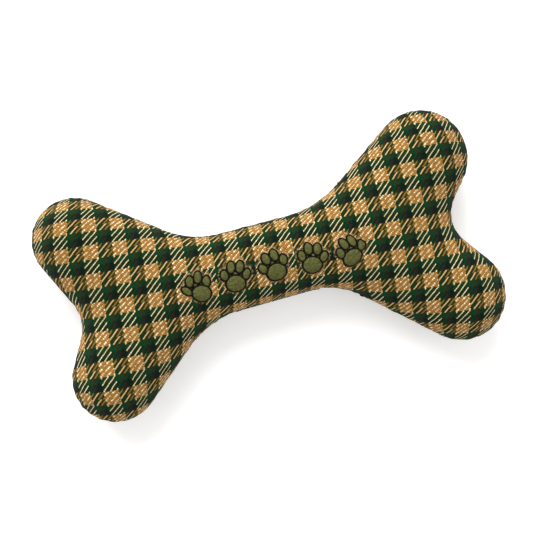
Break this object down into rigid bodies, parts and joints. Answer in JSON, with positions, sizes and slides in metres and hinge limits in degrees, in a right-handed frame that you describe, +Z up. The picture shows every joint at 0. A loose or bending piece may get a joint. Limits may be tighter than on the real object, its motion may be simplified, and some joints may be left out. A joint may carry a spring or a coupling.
{
  "type": "bone-shaped dog toy",
  "caption": "Stuffed bone-shaped dog toy: two checked tweed panels sewn round the edge, filled with fibre, with a squeaker in the shaft and a row of embroidered paw prints.",
  "frame": {"origin": "on the floor under the middle of the toy's box, as it lies on its back panel", "axes": "+X along the bone, +Y across it, +Z up out of the front panel that carries the embroidery"},
  "size_m": [0.3084, 0.163, 0.0544],
  "materials": {
    "tweed": "wool tweed in a twill weave, check of tan, cream, dark green and dark brown",
    "seam_thread": "dark green polyester sewing thread",
    "embroidery_thread": "olive rayon satin stitch with a dark brown border",
    "backing_fleece": "thin pressed fleece",
    "fibre_filling": "loose polyester fibre",
    "bulb_vinyl": "soft milky vinyl",
    "hard_plastic": "moulded white plastic",
    "reed_film": "stiff clear film"
  },
  "bodies": {
    "toy": {"front_panel": "tweed", "back_panel": "tweed", "needle_thread": "seam_thread", "bobbin_thread": "seam_thread", "closing_thread": "seam_thread", "embroidery_backing": "backing_fleece", "paw_print_1": "embroidery_thread", "paw_print_2": "embroidery_thread", "paw_print_3": "embroidery_thread", "paw_print_4": "embroidery_thread", "paw_print_5": "embroidery_thread", "filling_right_top_knob": "fibre_filling", "filling_left_top_knob": "fibre_filling", "filling_left_bottom_knob": "fibre_filling", "filling_right_bottom_knob": "fibre_filling", "filling_left_end": "fibre_filling", "filling_right_end": "fibre_filling", "filling_over_squeaker": "fibre_filling", "filling_under_squeaker": "fibre_filling", "squeaker_bulb": "bulb_vinyl"},
    "squeaker_plug": {"reed_housing": "hard_plastic", "reed_bed": "hard_plastic", "reed_clip": "hard_plastic"},
    "reed_strip": {"reed": "reed_film"}
  },
  "joints": [
    {"name": "squeaker_squeeze", "type": "slide", "parent": "toy", "child": "squeaker_plug", "axis": [0, 0, -1], "range_m": [0, 0.008], "stiffness_N_per_m": 400, "deforming": ["squeaker_bulb"]},
    {"name": "reed_flutter", "type": "hinge", "parent": "squeaker_plug", "child": "reed_strip", "pos_m": [-0.00219, 0.00401, 0.0386], "axis": [1, 0, 0], "range_deg": [0, 5], "stiffness_Nm_per_rad": 0.0001}
  ]
}
